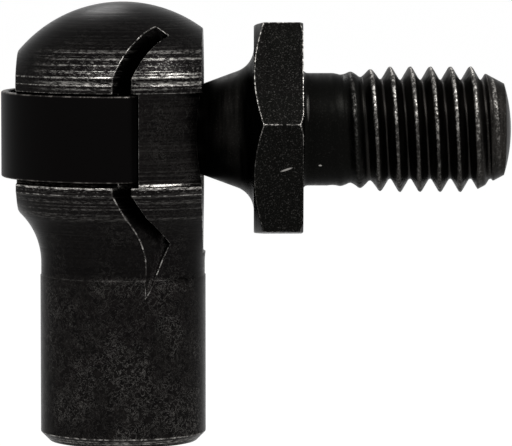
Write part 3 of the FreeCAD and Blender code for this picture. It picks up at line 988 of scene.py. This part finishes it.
# How bare of oxide each mark is at most, from 0 to 1
freckle_bare = 0.09
worn_bare = 0.9
shaded_below_share = 0.15  # of the edges' bright wear kept below the axis: painted shade below, painted light above
lower_side = -1.0  # mm of Z from the stud's axis
upper_side = 2.0

stud_steel, tree = new_material("blackened_rolled_steel")
mm_place, axes = mm_space(tree)
along = add(tree, "ShaderNodeMath", {0: axes["X"], 1: thread_end / MM},
            operation="DIVIDE").outputs[0]
turned_space = add(tree, "ShaderNodeVectorMath", {
    0: mm_place, 1: [1 / mm for mm in turned_ring]}, operation="MULTIPLY")
turned_rings = add(tree, "ShaderNodeTexNoise", {
    "Vector": turned_space.outputs[0], "Scale": 1.0, "Detail": 3.0, "Roughness": 0.6})

freckles = add(tree, "ShaderNodeTexNoise", {
    "Vector": mm_place, "Scale": 1 / freckle, "Detail": 3.0, "Roughness": 0.7})
freckles = add(tree, "ShaderNodeMapRange", {
    "Value": freckles.outputs[0], "From Min": 0.56, "From Max": 0.76, "To Max": freckle_bare})
freckles = add(tree, "ShaderNodeMath", {
    0: freckles.outputs[0], 1: share_along(tree, along, freckle_zones, thread_end)},
    operation="MULTIPLY")
edge_break = add(tree, "ShaderNodeTexNoise", {
    "Vector": mm_place, "Scale": 1 / worn_stretch, "Detail": 5.0, "Roughness": 0.75})
edge_break = add(tree, "ShaderNodeMapRange", {
    "Value": edge_break.outputs[0], "From Min": 0.48, "From Max": 0.62, "To Min": 0.05,
    "To Max": worn_bare})
# Painted light: the worn edges and crests are bright above the stud's axis and dim below it
painted_light_from_above = add(tree, "ShaderNodeMapRange", {
    "Value": axes["Z"], "From Min": ball_height / MM + lower_side,
    "From Max": ball_height / MM + upper_side, "To Min": shaded_below_share})
worn = add(tree, "ShaderNodeAttribute", attribute_name="worn")
worn_with_painted_light = worn.outputs["Fac"]
for share in (edge_break.outputs[0], share_along(tree, along, wear_zones, thread_end),
              painted_light_from_above.outputs[0]):
    worn_with_painted_light = add(tree, "ShaderNodeMath", {0: worn_with_painted_light, 1: share},
                    operation="MULTIPLY").outputs[0]
bare = add(tree, "ShaderNodeMath", {0: worn_with_painted_light, 1: freckles.outputs[0]}, operation="MAXIMUM")

# Single marks: a scratch on a flat, a chip in the oxide and a painted highlight on the shank
# by the hexagon, and a nick in the hexagon's near corner that is black again
single_marks = [  # centre and half sizes in mm, lean in degrees, how bare (for the painted highlight, how bright)
    ((10.15, -6.12, 17.30), (0.45, 0.30, 0.07), -19.0, 0.40),
    ((12.25, -2.88, 17.33), (0.12, 0.30, 0.06), 0.0, 0.50),
    # A painted highlight: a thin bright band round the shank beside the hexagon
    ((11.50, -3.19, 20.96), (0.08, 1.00, 1.00), 0.0, 0.06)]
for centre, half_sizes, lean, share in single_marks:
    rubbed = add(tree, "ShaderNodeMath", {
        0: mark(tree, mm_place, centre, half_sizes, lean), 1: share}, operation="MULTIPLY")
    bare = add(tree, "ShaderNodeMath", {0: bare.outputs[0], 1: rubbed.outputs[0]},
               operation="MAXIMUM")
nick = mark(tree, mm_place, (10.02, -7.41, 20.12), (0.17, 0.50, 0.40))
bare = add(tree, "ShaderNodeMix", {0: nick, 2: bare.outputs[0], 3: 0.0}, data_type="FLOAT")

skin_with_painted_light = add(tree, "ShaderNodeMapRange", {
    "Value": turned_rings.outputs[0], "From Min": 0.35, "From Max": 0.68, "To Min": 0.2})
# The skin's tone along the stud, with painted light and painted shade in its zones
skin_with_painted_light = add(tree, "ShaderNodeMath", {
    0: skin_with_painted_light.outputs[0], 1: share_along(tree, along, skin_tone_and_light_zones, thread_end)},
    operation="MULTIPLY")
skin_with_painted_light = add(tree, "ShaderNodeMix", {
    0: skin_with_painted_light.outputs[0], 6: linear(stud_black), 7: linear(stud_sheen)}, data_type="RGBA")
colour = add(tree, "ShaderNodeMix", {
    0: bare.outputs[0], 6: skin_with_painted_light.outputs[2], 7: linear(stud_bare)}, data_type="RGBA")
gloss = add(tree, "ShaderNodeMapRange", {
    "Value": turned_rings.outputs[0], "From Min": 0.3, "From Max": 0.7, "To Min": 0.30,
    "To Max": 0.44})
relief = add(tree, "ShaderNodeBump", {
    "Height": turned_rings.outputs[0], "Strength": 0.4, "Distance": turned_relief})
steel = add(tree, "ShaderNodeBsdfPrincipled", {
    "Base Color": colour.outputs[2], "Roughness": gloss.outputs[0], "Metallic": 1.0,
    "Specular Tint": linear(dull_rim), "Normal": relief.outputs[0]})
add(tree, "ShaderNodeOutputMaterial", {"Surface": steel.outputs[0]})


run_tree(stud, thread_tree, {
    "Pitch": pitch, "Crest Radius": crest_radius, "Root Radius": root_radius,
    "Shank Radius": stud_radius, "End Radius": end_radius, "Start": runout_start,
    "Full Depth": thread_full, "Bevel Start": end_bevel_start, "End": thread_end,
    "Crest Row": crest_place - top_lead, "First Row": runout_start - pitch / 2 + reach / 2,
    "Reach": reach, "Axis Height": ball_height, "First Angle": first_angle,
    "Nick Depth": nick_depth, "Nick Scale": 1 / nick_length, "Columns": columns + 1,
    "Rows": thread_rows + 1, "Steel": stud_steel})
round_edges(stud, hex_round, 2)

# The hexagon's flats and bevels are plane, so they meet in sharp edges in the shading too.
work = bmesh.new()
work.from_mesh(stud.data)
for edge in work.edges:
    if len(edge.link_faces) == 2 and edge.calc_face_angle() > smallest_flat_edge:
        middle = (edge.verts[0].co.x + edge.verts[1].co.x) / 2
        if hex_front - hex_round < middle < hex_back + hex_round / 4:
            edge.smooth = False
work.to_mesh(stud.data)
work.free()
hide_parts("ball_stud")
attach(stud, "stud")
